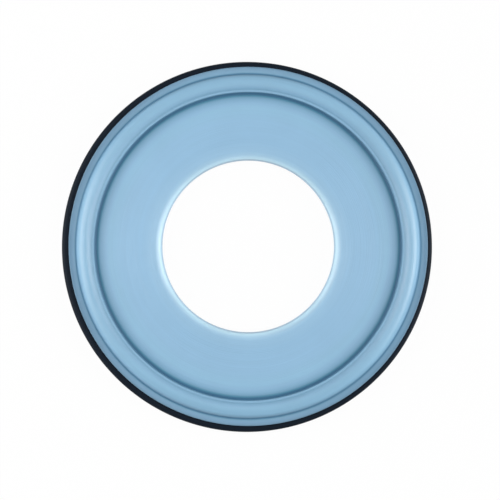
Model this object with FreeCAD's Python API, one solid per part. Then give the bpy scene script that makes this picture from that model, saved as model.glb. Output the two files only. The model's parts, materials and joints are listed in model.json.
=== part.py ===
import FreeCAD, Part
import math
import os

# Envelope gasket for a pair of 50.5 mm sanitary clamp ferrules on a 1 inch tube.
# A thin PTFE envelope, closed at the bore and open at the outside, is filled by a rubber core.
# Both faces are alike: a flat web, a stepped bead for the ferrule's groove, and a narrow land.
# The rubber was trimmed after moulding, so its black rim stands a little off centre.
# The bore runs along Z, and z = 0 is the middle of the web.

# Envelope
bore_d = 23.0
bead_circle_d = 43.6
web_thickness = 2.4
bore_land = 0.4
skin = 0.45

# Bead: an upright inner wall with a shoulder, a crown over the crest circle, a tighter outer flank
bead_height = 1.3
bead_inner_width = 1.23
foot_round = 0.35
shoulder_width = 0.33
shoulder_round = 0.08
crown_radius = 1.6
crown_end_angle = 22
flank_radius = 0.86
crease_round = 0.15

# Land outside the bead, which rises a little towards the envelope's cut edge
outer_land = 0.913
edge_flare_angle = 10
cut_edge_round = 0.08

# Rim of the rubber core
rim_proud = 0.8
rim_round = 0.5
rim_shift_x = -0.17
rim_shift_y = -0.07

# Places that follow from those sizes
bore_r = bore_d / 2
crest_r = bead_circle_d / 2
half_web = web_thickness / 2
core_half = half_web - skin
lip_round = (web_thickness - bore_land) / 2
lip_r = bore_r + lip_round
inner_wall_r = crest_r - bead_inner_width
crown_end = math.radians(crown_end_angle)
crown_z = half_web + bead_height - crown_radius
flank_r = crest_r + (crown_radius - flank_radius) * math.sin(crown_end)
flank_z = crown_z + (crown_radius - flank_radius) * math.cos(crown_end)
outer_wall_r = flank_r + flank_radius
crease_height = min(crease_round, flank_z - half_web)
crease_r = outer_wall_r + crease_height
cut_edge_r = crease_r + outer_land
rim_r = cut_edge_r + rim_proud
rim_shift = math.hypot(rim_shift_x, rim_shift_y)

axis_point = FreeCAD.Vector(0, 0, 0)
axis = FreeCAD.Vector(0, 0, 1)


class Outline:
    """An open run of lines and arcs in the plane of radius r and height z."""

    def __init__(self, r, z):
        self.end = (r, z)
        self.edges = []

    def line(self, r, z):
        start = FreeCAD.Vector(self.end[0], 0, self.end[1])
        self.edges.append(Part.LineSegment(start, FreeCAD.Vector(r, 0, z)).toShape())
        self.end = (r, z)

    def arc(self, centre, r, z):
        """The shorter way round centre from the last point to (r, z)."""
        start_angle = math.atan2(self.end[1] - centre[1], self.end[0] - centre[0])
        end_angle = math.atan2(z - centre[1], r - centre[0])
        turn = math.remainder(end_angle - start_angle, 2 * math.pi)
        radius = math.hypot(r - centre[0], z - centre[1])
        middle = start_angle + turn / 2
        points = [
            self.end,
            (centre[0] + radius * math.cos(middle), centre[1] + radius * math.sin(middle)),
            (r, z),
        ]
        self.edges.append(Part.Arc(*[FreeCAD.Vector(x, 0, y) for x, y in points]).toShape())
        self.end = (r, z)


def turned(outline):
    """The ring with this outline as its upper half and its mirror image as its lower half."""
    lower = [edge.mirror(axis_point, axis) for edge in outline.edges]
    start = outline.edges[0].Vertexes[0].Point
    end = FreeCAD.Vector(outline.end[0], 0, outline.end[1])
    closing = [
        Part.LineSegment(point, FreeCAD.Vector(point.x, 0, -point.z)).toShape() for point in (start, end)
    ]
    wire = Part.Wire(Part.__sortEdges__(outline.edges + lower + closing))
    return Part.Face(wire).revolve(axis_point, axis, 360)


def on_crown(r, inset):
    """Height of the bead's crown at radius r, inset from its surface."""
    return crown_z + math.sqrt((crown_radius - inset) ** 2 - (crest_r - r) ** 2)


def over_bead(outline, inset, foot_z):
    """Takes the outline from the crown's inner side over the crest and down the outer wall to foot_z."""
    reach = crown_radius - inset
    outline.arc(
        (crest_r, crown_z), crest_r + reach * math.sin(crown_end), crown_z + reach * math.cos(crown_end)
    )
    outline.arc((flank_r, flank_z), outer_wall_r - inset, flank_z)
    outline.line(outer_wall_r - inset, foot_z)


def envelope_ring():
    """The whole gasket inside the envelope's cut edges, with the rubber not yet taken out."""
    shoulder_r = inner_wall_r + shoulder_width
    shoulder_z = on_crown(shoulder_r, 0)
    wall_top = shoulder_z - shoulder_round
    foot_height = min(foot_round, wall_top - half_web)
    foot_r = inner_wall_r - foot_height

    # The land curls up from the crease, and the cut edge's round touches it from below
    flare_radius = outer_land / math.sin(math.radians(edge_flare_angle))
    flare_z = half_web + flare_radius
    edge_r = cut_edge_r - cut_edge_round
    edge_z = flare_z - math.sqrt((flare_radius + cut_edge_round) ** 2 - (edge_r - crease_r) ** 2)
    onto_edge = flare_radius / (flare_radius + cut_edge_round)
    land_end = (crease_r + (edge_r - crease_r) * onto_edge, flare_z + (edge_z - flare_z) * onto_edge)

    outline = Outline(bore_r, bore_land / 2)
    outline.arc((lip_r, bore_land / 2), lip_r, half_web)
    outline.line(foot_r, half_web)
    outline.arc((foot_r, half_web + foot_height), inner_wall_r, half_web + foot_height)
    outline.line(inner_wall_r, wall_top)
    outline.arc((inner_wall_r + shoulder_round, wall_top), inner_wall_r + shoulder_round, shoulder_z)
    outline.line(shoulder_r, shoulder_z)
    over_bead(outline, 0, half_web + crease_height)
    outline.arc((crease_r, half_web + crease_height), crease_r, half_web)
    outline.arc((crease_r, flare_z), *land_end)
    outline.arc((edge_r, edge_z), cut_edge_r, edge_z)
    return turned(outline)


def rubber_core():
    """The moulded rubber, one skin inside the envelope, punched round a shifted centre."""
    core_wall_r = inner_wall_r + skin
    stock_r = rim_r + rim_proud

    outline = Outline(bore_r + skin, bore_land / 2)
    outline.arc((lip_r, bore_land / 2), lip_r, core_half)
    outline.line(inner_wall_r, core_half)
    outline.arc((inner_wall_r, half_web), core_wall_r, half_web)
    outline.line(core_wall_r, on_crown(core_wall_r, skin))
    over_bead(outline, skin, half_web)
    outline.arc((outer_wall_r, half_web), outer_wall_r, core_half)
    outline.line(stock_r, core_half)

    punch_height = 2 * (half_web + bead_height)
    punch_base = FreeCAD.Vector(rim_shift_x, rim_shift_y, -punch_height / 2)
    punch = Part.makeCylinder(rim_r, punch_height, punch_base, axis)
    core = turned(outline).common(punch)
    rim_edges = [
        edge for edge in core.Edges
        if isinstance(edge.Curve, Part.Circle) and math.isclose(edge.Curve.Radius, rim_r)
    ]
    return core.makeFillet(min(rim_round, rim_proud - rim_shift), rim_edges)


def save(node, shape):
    shape.exportStep(os.path.join("parts", node + ".step"))
    print(node, round(shape.Volume, 1), "mm3, solids:", len(shape.Solids), "valid:", shape.isValid())


os.makedirs("parts", exist_ok=True)
core = rubber_core()
save("rubber_core", core)
save("ptfe_envelope", envelope_ring().cut(core))
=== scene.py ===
import json
import math

import bmesh
import bpy
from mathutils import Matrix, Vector


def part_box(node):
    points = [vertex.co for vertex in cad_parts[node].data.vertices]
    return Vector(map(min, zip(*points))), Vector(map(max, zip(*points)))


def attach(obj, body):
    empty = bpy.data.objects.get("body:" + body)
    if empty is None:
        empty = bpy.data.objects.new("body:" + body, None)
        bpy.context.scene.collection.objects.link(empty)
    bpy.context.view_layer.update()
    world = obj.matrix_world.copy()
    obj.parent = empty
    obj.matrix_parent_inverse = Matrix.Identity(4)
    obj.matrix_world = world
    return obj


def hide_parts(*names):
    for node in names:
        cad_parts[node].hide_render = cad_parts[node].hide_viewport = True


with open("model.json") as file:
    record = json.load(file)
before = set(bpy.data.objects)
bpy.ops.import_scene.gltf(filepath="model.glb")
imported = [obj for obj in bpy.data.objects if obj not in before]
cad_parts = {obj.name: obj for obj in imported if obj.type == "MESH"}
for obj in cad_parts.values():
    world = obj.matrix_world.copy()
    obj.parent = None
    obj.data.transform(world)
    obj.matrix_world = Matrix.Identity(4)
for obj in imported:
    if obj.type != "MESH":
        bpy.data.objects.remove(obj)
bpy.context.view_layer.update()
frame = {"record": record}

mm = 0.001
hair = 0.001 * mm  # kept free of the CAD box
weldGap = 0.002 * mm  # vertices nearer than this become one
turnSteps = 320  # copies of the section round the bore

# sizes that the CAD frame gives
mounts = {mount["name"]: mount for mount in frame["record"]["mounts"]}
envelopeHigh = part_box("ptfe_envelope")[1]
coreLow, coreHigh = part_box("rubber_core")
boreR = mounts["bore"]["dims"]["r_mm"] * mm
boreLand = mounts["bore"]["dims"]["length_mm"] * mm / 2  # half of the straight wall
webZ = mounts["web_top"]["pos_m"][2]
crestZ = envelopeHigh[2]
cutEdgeR = envelopeHigh[0]
skin = envelopeHigh[2] - coreHigh[2]
rimR = (coreHigh[0] - coreLow[0]) / 2 - hair
rimX = (coreHigh[0] + coreLow[0]) / 2
rimY = (coreHigh[1] + coreLow[1]) / 2
lipRound = webZ - boreLand
lipR = boreR + lipRound
coreZ = webZ - skin


# outline tools: a section is drawn vertex by vertex in the plane y = 0, then spun round the bore
def startOutline(name, r, z):
    bpy.ops.object.select_all(action="DESELECT")
    bpy.ops.mesh.primitive_plane_add(size=1 * mm, location=(r, 0, z))
    piece = bpy.context.object
    piece.name = name
    piece.data.name = name
    bpy.ops.object.transform_apply(location=True)
    bpy.ops.object.mode_set(mode="EDIT")
    bpy.ops.mesh.select_mode(type="VERT")
    bpy.ops.mesh.select_all(action="SELECT")
    bpy.ops.mesh.merge(type="CENTER")
    return piece


def outlineEnd():
    mesh = bmesh.from_edit_mesh(bpy.context.object.data)
    return next(vert.co.copy() for vert in mesh.verts if vert.select)


def lineTo(r, z, cuts=1):
    step = (Vector((r, 0, z)) - outlineEnd()) / cuts
    for _ in range(cuts):
        bpy.ops.mesh.extrude_vertices_move(TRANSFORM_OT_translate={"value": step})


def arcTo(centreR, centreZ, degrees, steps):
    # degrees are counted from up (+Z) towards the outside (+X)
    bpy.ops.mesh.spin(
        steps=steps, angle=-math.radians(degrees), center=(centreR, 0, centreZ), axis=(0, 1, 0),
        use_auto_merge=False,
    )


def selectWhere(test):
    # picks vertices by their place, leaving the piece in edit mode
    mesh = bmesh.from_edit_mesh(bpy.context.object.data)
    for vert in mesh.verts:
        vert.select = test(vert.co)
    mesh.select_flush_mode()
    bmesh.update_edit_mesh(bpy.context.object.data)


def finishTurned(piece, sharpDegrees):
    # mirrors the upper half of the section, spins it round the bore and closes it
    bpy.ops.object.mode_set(mode="OBJECT")
    mirror = piece.modifiers.new("lowerHalf", "MIRROR")
    mirror.use_axis = (False, False, True)
    mirror.merge_threshold = weldGap
    bpy.ops.object.modifier_apply(modifier=mirror.name)
    bpy.ops.object.mode_set(mode="EDIT")
    bpy.ops.mesh.select_all(action="SELECT")
    bpy.ops.mesh.spin(steps=turnSteps, angle=2 * math.pi, center=(0, 0, 0), axis=(0, 0, 1))
    bpy.ops.mesh.select_all(action="SELECT")
    bpy.ops.mesh.remove_doubles(threshold=weldGap)
    bpy.ops.mesh.normals_make_consistent(inside=False)
    bpy.ops.object.mode_set(mode="OBJECT")
    bpy.ops.object.shade_smooth_by_angle(angle=math.radians(sharpDegrees))


# the envelope: two beaded skins joined at the bore by a rounded nose, open at the outside
envelopeLook = {
    "crestR": 21.8 * mm,
    "crownR": 1.6 * mm,  # top of the bead, down to its shoulder
    "crownEnd": 22,  # degrees from the crest to the outer flank
    "flankR": 0.86 * mm,
    "innerWidth": 1.23 * mm,  # crest circle to the bead's inner edge
    "shoulder": 0.33 * mm,
    "shoulderRound": 0.08 * mm,
    "footRound": 0.35 * mm,
    "creaseRound": 0.15 * mm,
    "edgeFlare": 10,  # degrees that the land rises at the cut edge
    "edgeRound": 0.08 * mm,
    "sharpDegrees": 32,  # steeper edges than this stay sharp
}
crestR = envelopeLook["crestR"]
crownR = envelopeLook["crownR"]
crownEnd = envelopeLook["crownEnd"]
flankR = envelopeLook["flankR"]
crownZ = crestZ - crownR  # centres of the crown's and the flank's rounds
flankPlaceR = crestR + (crownR - flankR) * math.sin(math.radians(crownEnd))
flankZ = crownZ + (crownR - flankR) * math.cos(math.radians(crownEnd))
innerEdgeR = crestR - envelopeLook["innerWidth"]


def wallTurn(r, inset):
    # degrees from the crest back to radius r, on the crown moved in by inset
    return math.degrees(math.asin((crestR - r) / (crownR - inset)))


def buildEnvelope():
    look = envelopeLook
    shoulderR = innerEdgeR + look["shoulder"]
    shoulderTurn = wallTurn(shoulderR, 0)
    shoulderZ = crownZ + crownR * math.cos(math.radians(shoulderTurn))
    edgeR = innerEdgeR + look["shoulderRound"]
    edgeZ = shoulderZ - look["shoulderRound"]
    footR = innerEdgeR - look["footRound"]

    creaseR = flankPlaceR + flankR + look["creaseRound"]
    creaseZ = webZ + look["creaseRound"]
    flareR = (cutEdgeR - creaseR) / math.sin(math.radians(look["edgeFlare"]))
    flareReach = flareR + look["edgeRound"]
    flareTurn = math.degrees(math.asin((cutEdgeR - look["edgeRound"] - creaseR) / flareReach))
    cutZ = webZ + flareR - flareReach * math.cos(math.radians(flareTurn))

    innerWallR = innerEdgeR + skin
    outerWallR = flankPlaceR + flankR - skin

    # outer face, from the bore to the cut edge
    piece = startOutline("ptfeEnvelope", boreR, 0)
    lineTo(boreR, boreLand)
    arcTo(lipR, boreLand, 90, steps=14)
    lineTo(footR, webZ, cuts=12)
    arcTo(footR, webZ + look["footRound"], -90, steps=8)
    lineTo(innerEdgeR, edgeZ, cuts=3)
    arcTo(edgeR, edgeZ, 90, steps=4)
    lineTo(shoulderR, shoulderZ, cuts=2)
    arcTo(crestR, crownZ, shoulderTurn + crownEnd, steps=20)
    arcTo(flankPlaceR, flankZ, 90 - crownEnd, steps=10)
    lineTo(flankPlaceR + flankR, creaseZ, cuts=3)
    arcTo(creaseR, creaseZ, -90, steps=6)
    arcTo(creaseR, webZ + flareR, -flareTurn, steps=5)
    arcTo(cutEdgeR - look["edgeRound"], cutZ, 90 + flareTurn, steps=4)
    lineTo(cutEdgeR, coreZ, cuts=2)

    # inner face, back along the rubber
    lineTo(outerWallR + skin, coreZ, cuts=2)
    arcTo(outerWallR + skin, webZ, 90, steps=5)
    lineTo(outerWallR, flankZ)
    arcTo(flankPlaceR, flankZ, crownEnd - 90, steps=5)
    arcTo(crestR, crownZ, -crownEnd - wallTurn(innerWallR, skin), steps=8)
    lineTo(innerWallR, webZ)
    arcTo(innerWallR - skin, webZ, 90, steps=5)
    lineTo(lipR, coreZ, cuts=6)
    arcTo(lipR, boreLand, -90, steps=8)
    lineTo(boreR + skin, 0)
    finishTurned(piece, look["sharpDegrees"])
    return piece


# the rubber core: fills the envelope and shows as the black rim
coreLook = {
    "rimRound": 0.5 * mm,
    "rimBand": 0.4 * mm,  # reach inside the cut edge of what moves with the rim
    "slack": 0.01 * mm,  # kept free of the envelope's inner face
    "sharpDegrees": 40,
}


def buildCore():
    look = coreLook
    inset = skin + look["slack"]
    topZ = webZ - inset
    innerWallR = innerEdgeR + inset
    outerWallR = flankPlaceR + flankR - inset
    innerTurn = wallTurn(innerWallR, inset)

    piece = startOutline("rubberCore", boreR + inset, 0)
    lineTo(boreR + inset, boreLand)
    arcTo(lipR, boreLand, 90, steps=8)
    lineTo(innerWallR - inset, topZ, cuts=6)
    arcTo(innerWallR - inset, webZ, -90, steps=5)
    lineTo(innerWallR, crownZ + (crownR - inset) * math.cos(math.radians(innerTurn)))
    arcTo(crestR, crownZ, innerTurn + crownEnd, steps=8)
    arcTo(flankPlaceR, flankZ, 90 - crownEnd, steps=5)
    lineTo(outerWallR, webZ)
    arcTo(outerWallR + inset, webZ, -90, steps=5)
    lineTo(rimR - look["rimRound"], topZ, cuts=4)
    arcTo(rimR - look["rimRound"], topZ - look["rimRound"], 90, steps=8)
    lineTo(rimR, 0, cuts=2)
    finishTurned(piece, look["sharpDegrees"])

    # the rim was trimmed off centre
    bpy.ops.object.mode_set(mode="EDIT")
    selectWhere(lambda co: math.hypot(co.x, co.y) > cutEdgeR - look["rimBand"])
    bpy.ops.transform.translate(value=(rimX, rimY, 0))
    bpy.ops.object.mode_set(mode="OBJECT")
    return piece


# material tools
def newMaterial(name):
    material = bpy.data.materials.new(name)
    material.use_nodes = True
    nodes = material.node_tree.nodes
    return material, nodes, material.node_tree.links, nodes["Principled BSDF"]


def scalarMath(nodes, links, operation, first, second):
    node = nodes.new("ShaderNodeMath")
    node.operation = operation
    for socket, value in zip(node.inputs, (first, second)):
        if isinstance(value, (int, float)):
            socket.default_value = value
        else:
            links.new(value, socket)
    return node.outputs[0]


def vectorMath(nodes, links, operation, first, second=None):
    node = nodes.new("ShaderNodeVectorMath")
    node.operation = operation
    links.new(first, node.inputs[0])
    socket = node.inputs["Scale"] if operation == "SCALE" else node.inputs[1]
    if isinstance(second, (int, float)):
        socket.default_value = second
    elif second is not None:
        links.new(second, socket)
    return node


def rescaled(nodes, links, value, old, new):
    # old and new are (low, high)
    node = nodes.new("ShaderNodeMapRange")
    node.inputs["From Min"].default_value = old[0]
    node.inputs["From Max"].default_value = old[1]
    node.inputs["To Min"].default_value = new[0]
    node.inputs["To Max"].default_value = new[1]
    links.new(value, node.inputs["Value"])
    return node.outputs[0]


def noiseAt(nodes, links, point, scale, detail):
    noise = nodes.new("ShaderNodeTexNoise")
    noise.inputs["Scale"].default_value = scale
    noise.inputs["Detail"].default_value = detail
    links.new(point, noise.inputs["Vector"])
    return noise.outputs["Fac"]


noiseSpan = (0.3, 0.7)  # where most of a noise's values lie


def tinted(nodes, links, base, noise, low, high):
    # multiplies a colour by a grey that runs from low to high with the noise
    grey = rescaled(nodes, links, noise, noiseSpan, (low, high))
    return vectorMath(nodes, links, "SCALE", base, grey).outputs["Vector"]


def bumped(nodes, links, shader, height, distance, strength):
    bump = nodes.new("ShaderNodeBump")
    bump.inputs["Distance"].default_value = distance
    bump.inputs["Strength"].default_value = strength
    links.new(height, bump.inputs["Height"])
    links.new(bump.outputs[0], shader.inputs["Normal"])


# PTFE: one blue, with painted light and shade laid into its colour by radius: a painted glow at the bore's
# nose, and painted shade at the bead's foot, on its flanks, in the crease and over the land towards the cut
# edge
ptfeLook = {
    "colorsAndPaintedLight": {
        "web": (0.247, 0.458, 0.655),
        # painted shade on the bore's wall, darker than the painted glow next to it
        "paintedBoreShade": (0.35, 0.54, 0.70),
        "nose": (0.58, 0.84, 0.98),  # painted glow: light let through the bore's nose from below, and its highlight, laid into the colour
        "webEdge": (0.244, 0.468, 0.648),
        "shade": (0.006, 0.152, 0.248),  # painted shade where the web bends up into the bead's foot
        "foot": (0.003, 0.09, 0.183),  # painted shade in the corner at the bead's inner foot
        # painted light and shade on the bead's flanks
        "flank": (0.165, 0.345, 0.505),
        "crown": (0.223, 0.441, 0.622),
        # painted shade in the crease between the bead and the land
        "paintedCreaseShade": (0.06, 0.20, 0.33),
        # painted shade: the bead's shadow on the land, laid in evenly all round
        "land": (0.153, 0.347, 0.495),
        # painted shade darkening the land towards the cut edge
        "paintedEdgeShade": (0.096, 0.212, 0.32),
    },
    "colorAndPaintedLightStops": [  # radius in mm, colour, and how far the web's colour has turned to it
        (11.5, "paintedBoreShade", 1),
        (11.6, "paintedBoreShade", 1),
        (11.74, "nose", 1),
        (11.89, "nose", 0.85),
        (12.03, "nose", 0.60),
        (12.16, "nose", 0.36),
        (12.3, "nose", 0.24),
        (12.7, "nose", 0.08),
        (14.0, "web", 1),
        (16.8, "web", 1),
        (18.6, "webEdge", 1),
        # painted shade deepening towards the bead's foot
        (19.1, "shade", 0.08),
        (19.36, "shade", 0.18),
        (19.62, "shade", 0.28),
        (19.89, "shade", 0.49),
        (20.03, "shade", 0.72),
        (20.16, "shade", 0.97),
        (20.28, "foot", 1),
        (20.47, "foot", 1),
        # painted light and shade on the bead's inner flank: lighter along the shoulder, darker below the
        # crown
        (20.62, "flank", 1),
        (20.7, "flank", 0.54),
        (20.92, "flank", 1.18),
        (21.25, "flank", 0.6),
        (21.6, "crown", 1),
        (22.5, "crown", 1),
        # painted shade where the outer flank turns down past its highlight
        (22.74, "flank", 0.5),
        (22.98, "paintedCreaseShade", 1),
        (23.13, "paintedCreaseShade", 1),
        (23.25, "land", 1),
        (23.45, "paintedEdgeShade", 0.5),
        (23.78, "paintedEdgeShade", 0.6),
        (24.0, "paintedEdgeShade", 1),
    ],
    "roughness": {
        "lip": 0.36,
        "web": 0.45,
        "foot": 0.66,
        "flank": 0.5,
        "crown": 0.30,
        "streak": 0.34,
        "dull": 0.7,
    },
    "roughnessStops": [  # radius in mm and roughness
        (12.9, "lip"),
        (13.6, "web"),
        (19.7, "web"),
        (20.1, "foot"),
        (20.5, "foot"),
        (20.6, "flank"),
        (21.08, "flank"),
        (21.3, "crown"),
        (21.5, "crown"),
        (21.8, "streak"),
        (22.38, "streak"),
        (22.52, "dull"),
        (23.15, "dull"),
        (23.22, "crown"),
        (23.4, "web"),
        (23.6, "dull"),
    ],
    "specular": 0.95,
    "finePeriod": 0.08 * mm,  # width of the finest turned lines
    "fineWinding": 1.2,  # how soon a line changes on its way round
    "broadPeriod": 0.55 * mm,
    "broadWinding": 0.8,
    "lineDetail": 2,
    "lineTint": 0.015,
    "lineBump": 0.03 * mm,
    "lineBumpStrength": 1,
    "mottleScale": 160,
    "mottleDetail": 3,
    "mottleTint": 0.02,
    "polishVaries": 0.08,
}


def ringPlace(nodes, links):
    # place, distance from the bore's axis, direction away from it, and height
    place = nodes.new("ShaderNodeTexCoord").outputs["Object"]
    parts = nodes.new("ShaderNodeSeparateXYZ")
    links.new(place, parts.inputs[0])
    flat = nodes.new("ShaderNodeCombineXYZ")
    links.new(parts.outputs["X"], flat.inputs["X"])
    links.new(parts.outputs["Y"], flat.inputs["Y"])
    radius = vectorMath(nodes, links, "LENGTH", flat.outputs[0]).outputs["Value"]
    direction = vectorMath(nodes, links, "NORMALIZE", flat.outputs[0]).outputs["Vector"]
    return place, radius, direction, parts.outputs["Z"]


def turnedLines(nodes, links, radius, direction, height, period, winding):
    # noise that is drawn out round the bore, as a lathe tool leaves it
    along = vectorMath(nodes, links, "SCALE", direction, winding).outputs["Vector"]
    depth = scalarMath(nodes, links, "ADD", radius, height)
    across = scalarMath(nodes, links, "MULTIPLY", depth, 1 / period)
    lift = nodes.new("ShaderNodeCombineXYZ")
    links.new(across, lift.inputs["Z"])
    point = vectorMath(nodes, links, "ADD", along, lift.outputs[0]).outputs["Vector"]
    return noiseAt(nodes, links, point, 1, ptfeLook["lineDetail"])


def sectionRamp(nodes, links, reach, stops):
    # stops are (radius in mm, colour), from the bore to the cut edge
    ramp = nodes.new("ShaderNodeValToRGB")
    elements = ramp.color_ramp.elements
    while len(elements) > 1:
        elements.remove(elements[0])
    places = [((r * mm - boreR) / (cutEdgeR - boreR), (*color, 1)) for r, color in stops]
    elements[0].position, elements[0].color = places[0]
    for place, color in places[1:]:
        elements.new(place).color = color
    links.new(reach, ramp.inputs[0])
    return ramp.outputs["Color"]


def turnedFrom(start, end, share):
    return [first + (last - first) * share for first, last in zip(start, end)]


def ptfeMaterial():
    look = ptfeLook
    material, nodes, links, shader = newMaterial("bluePtfe")
    place, radius, direction, height = ringPlace(nodes, links)
    reach = rescaled(nodes, links, radius, (boreR, cutEdgeR), (0, 1))
    fine = turnedLines(nodes, links, radius, direction, height, look["finePeriod"], look["fineWinding"])
    broad = turnedLines(nodes, links, radius, direction, height, look["broadPeriod"], look["broadWinding"])
    mottle = noiseAt(nodes, links, place, look["mottleScale"], look["mottleDetail"])

    colorsAndPaintedLight = look["colorsAndPaintedLight"]
    color = sectionRamp(nodes, links, reach, [
        (r, turnedFrom(colorsAndPaintedLight["web"], colorsAndPaintedLight[name], share)) for r, name, share in look["colorAndPaintedLightStops"]
    ])
    for noise, tint in ((fine, "lineTint"), (broad, "lineTint"), (mottle, "mottleTint")):
        color = tinted(nodes, links, color, noise, 1 - look[tint], 1 + look[tint])
    links.new(color, shader.inputs["Base Color"])

    # the lip and the bead's crown are burnished, and the rest is duller
    polish = sectionRamp(nodes, links, reach, [
        (r, [look["roughness"][name]] * 3) for r, name in look["roughnessStops"]
    ])
    polish = tinted(nodes, links, polish, broad, 1 - look["polishVaries"], 1 + look["polishVaries"])
    links.new(polish, shader.inputs["Roughness"])

    bumped(nodes, links, shader, fine, look["lineBump"], look["lineBumpStrength"])
    shader.inputs["Specular IOR Level"].default_value = look["specular"]
    return material


rubberLook = {
    "color": (0.002, 0.006, 0.0125),
    "darkest": 0.7,
    "palest": 1.4,
    "roughness": 0.5,
    "roughnessVaries": 0.06,
    "specular": 0.1,
    "grainScale": 9000,
    "grainDetail": 3,
    "grainBump": 0.03 * mm,
    "grainBumpStrength": 0.4,
}


def rubberMaterial():
    look = rubberLook
    material, nodes, links, shader = newMaterial("blackRubber")
    place = nodes.new("ShaderNodeTexCoord").outputs["Object"]
    grain = noiseAt(nodes, links, place, look["grainScale"], look["grainDetail"])
    base = nodes.new("ShaderNodeCombineXYZ")
    for socket, value in zip(base.inputs, look["color"]):
        socket.default_value = value
    color = tinted(nodes, links, base.outputs[0], grain, look["darkest"], look["palest"])
    links.new(color, shader.inputs["Base Color"])
    wear = (look["roughness"] - look["roughnessVaries"], look["roughness"] + look["roughnessVaries"])
    links.new(rescaled(nodes, links, grain, noiseSpan, wear), shader.inputs["Roughness"])
    bumped(nodes, links, shader, grain, look["grainBump"], look["grainBumpStrength"])
    shader.inputs["Specular IOR Level"].default_value = look["specular"]
    return material


def placePiece(piece, node, material):
    piece.data.materials.clear()
    piece.data.materials.append(material)
    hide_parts(node)
    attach(piece, "root")


placePiece(buildEnvelope(), "ptfe_envelope", ptfeMaterial())
print("envelope built")
placePiece(buildCore(), "rubber_core", rubberMaterial())
print("rubber core built")

# floor, lights and camera
stageLook = {
    "floorSize": 1.2,
    "floorCuts": 8,
    "floorGap": 0.005 * mm,  # under the lower bead
    "floorColor": (0.92, 0.92, 0.92, 1),
    "floorRoughness": 0.9,
    "floorSeen": 0.97,  # share of plain white that the camera sees
    "worldColor": (0.9, 0.93, 1.0, 1),
    "worldStrength": 0.06,
    "sides": (("left", 178, 0.2, 0.95), ("right", -2, 0.3, 1.05)),  # azimuth, metres away, share of power
    "lampElevation": 54,
    "lampSpread": (0.44, 0.46),  # width and height for each metre of distance
    "lampPower": 3.1,  # watts at one metre
    "panelElevation": 18,
    "panelSpread": (1.05, 0.68),
    "panelPower": 7.3,
    "backAzimuth": 90,
    "backElevation": 60,
    "backDistance": 0.25,
    "backSpread": (2.0, 1.2),
    "backPower": 1.36,
}


def backgroundRays(nodes, links):
    # 1 for the rays that show the background: seen, mirrored or let through
    path = nodes.new("ShaderNodeLightPath")
    rays = scalarMath(nodes, links, "MAXIMUM", path.outputs["Is Camera Ray"], path.outputs["Is Glossy Ray"])
    return scalarMath(nodes, links, "MAXIMUM", rays, path.outputs["Is Transmission Ray"])


def buildFloor():
    look = stageLook
    bpy.ops.object.select_all(action="DESELECT")
    bpy.ops.mesh.primitive_grid_add(
        x_subdivisions=look["floorCuts"], y_subdivisions=look["floorCuts"], size=look["floorSize"]
    )
    floor = bpy.context.object
    floor.name = "floor"
    floor.location.z = -crestZ - look["floorGap"]
    material, nodes, links, shader = newMaterial("whiteSweep")
    shader.inputs["Base Color"].default_value = look["floorColor"]
    shader.inputs["Roughness"].default_value = look["floorRoughness"]
    glow = nodes.new("ShaderNodeEmission")
    mix = nodes.new("ShaderNodeMixShader")
    share = scalarMath(nodes, links, "MULTIPLY", backgroundRays(nodes, links), look["floorSeen"])
    links.new(share, mix.inputs[0])
    links.new(shader.outputs[0], mix.inputs[1])
    links.new(glow.outputs[0], mix.inputs[2])
    links.new(mix.outputs[0], nodes["Material Output"].inputs["Surface"])
    floor.data.materials.append(material)


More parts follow.
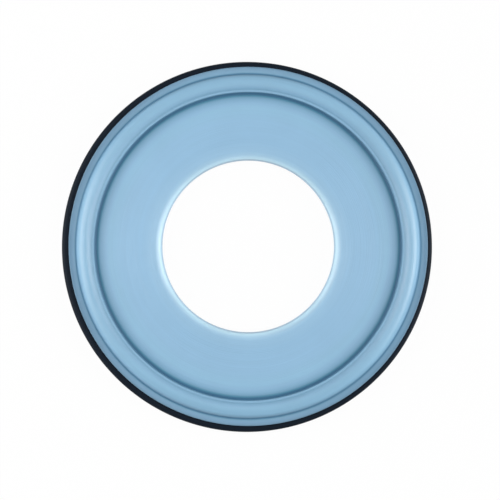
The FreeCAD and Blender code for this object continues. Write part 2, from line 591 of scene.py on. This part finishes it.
def buildWorld():
    world = bpy.context.scene.world or bpy.data.worlds.new("studio")
    bpy.context.scene.world = world
    world.use_nodes = True
    nodes, links = world.node_tree.nodes, world.node_tree.links
    nodes.clear()
    output = nodes.new("ShaderNodeOutputWorld")
    seen = nodes.new("ShaderNodeBackground")
    light = nodes.new("ShaderNodeBackground")
    mix = nodes.new("ShaderNodeMixShader")
    seen.inputs["Color"].default_value = (1, 1, 1, 1)
    light.inputs["Color"].default_value = stageLook["worldColor"]
    light.inputs["Strength"].default_value = stageLook["worldStrength"]
    links.new(backgroundRays(nodes, links), mix.inputs[0])
    links.new(light.outputs[0], mix.inputs[1])
    links.new(seen.outputs[0], mix.inputs[2])
    links.new(mix.outputs[0], output.inputs["Surface"])


def buildSoftbox(name, azimuth, elevation, distance, spread, power):
    # azimuth in degrees from +X, anticlockwise from above; a nearer lamp is smaller and no brighter
    light = bpy.data.lights.new(name, "AREA")
    light.shape = "RECTANGLE"
    light.size = spread[0] * distance
    light.size_y = spread[1] * distance
    light.energy = power * distance ** 2
    lamp = bpy.data.objects.new(name, light)
    bpy.context.collection.objects.link(lamp)
    turn, lift = math.radians(azimuth), math.radians(elevation)
    lamp.location = distance * Vector(
        (math.cos(lift) * math.cos(turn), math.cos(lift) * math.sin(turn), math.sin(lift))
    )
    lamp.rotation_euler = lamp.location.to_track_quat("Z", "Y").to_euler()


def buildLights():
    look = stageLook
    for side, azimuth, distance, share in look["sides"]:
        buildSoftbox(
            side + "Lamp", azimuth, look["lampElevation"], distance, look["lampSpread"],
            look["lampPower"] * share,
        )
        buildSoftbox(
            side + "Panel", azimuth, look["panelElevation"], distance, look["panelSpread"],
            look["panelPower"] * share,
        )
    buildSoftbox(
        "backSoftbox", look["backAzimuth"], look["backElevation"], look["backDistance"],
        look["backSpread"], look["backPower"],
    )


cameraLook = {
    "distance": 0.35,
    "pixel": 0.13362 * mm,  # width of one pixel of the photo at the web
    "imageSize": 500,
    "centrePixel": (247.7, 245.9),
    "sensor": 36,
}


def buildCamera():
    look = cameraLook
    camera = bpy.data.cameras.new("camera")
    camera.sensor_width = look["sensor"]
    camera.lens = look["sensor"] * look["distance"] / (look["pixel"] * look["imageSize"])
    holder = bpy.data.objects.new("camera", camera)
    bpy.context.collection.objects.link(holder)
    middle = (look["imageSize"] - 1) / 2
    holder.location = (
        (middle - look["centrePixel"][0]) * look["pixel"],
        (look["centrePixel"][1] - middle) * look["pixel"],
        webZ + look["distance"],
    )
    bpy.context.scene.camera = holder


buildFloor()
buildWorld()
buildLights()
buildCamera()
bpy.context.scene.view_settings.view_transform = "Standard"
print("studio ready")
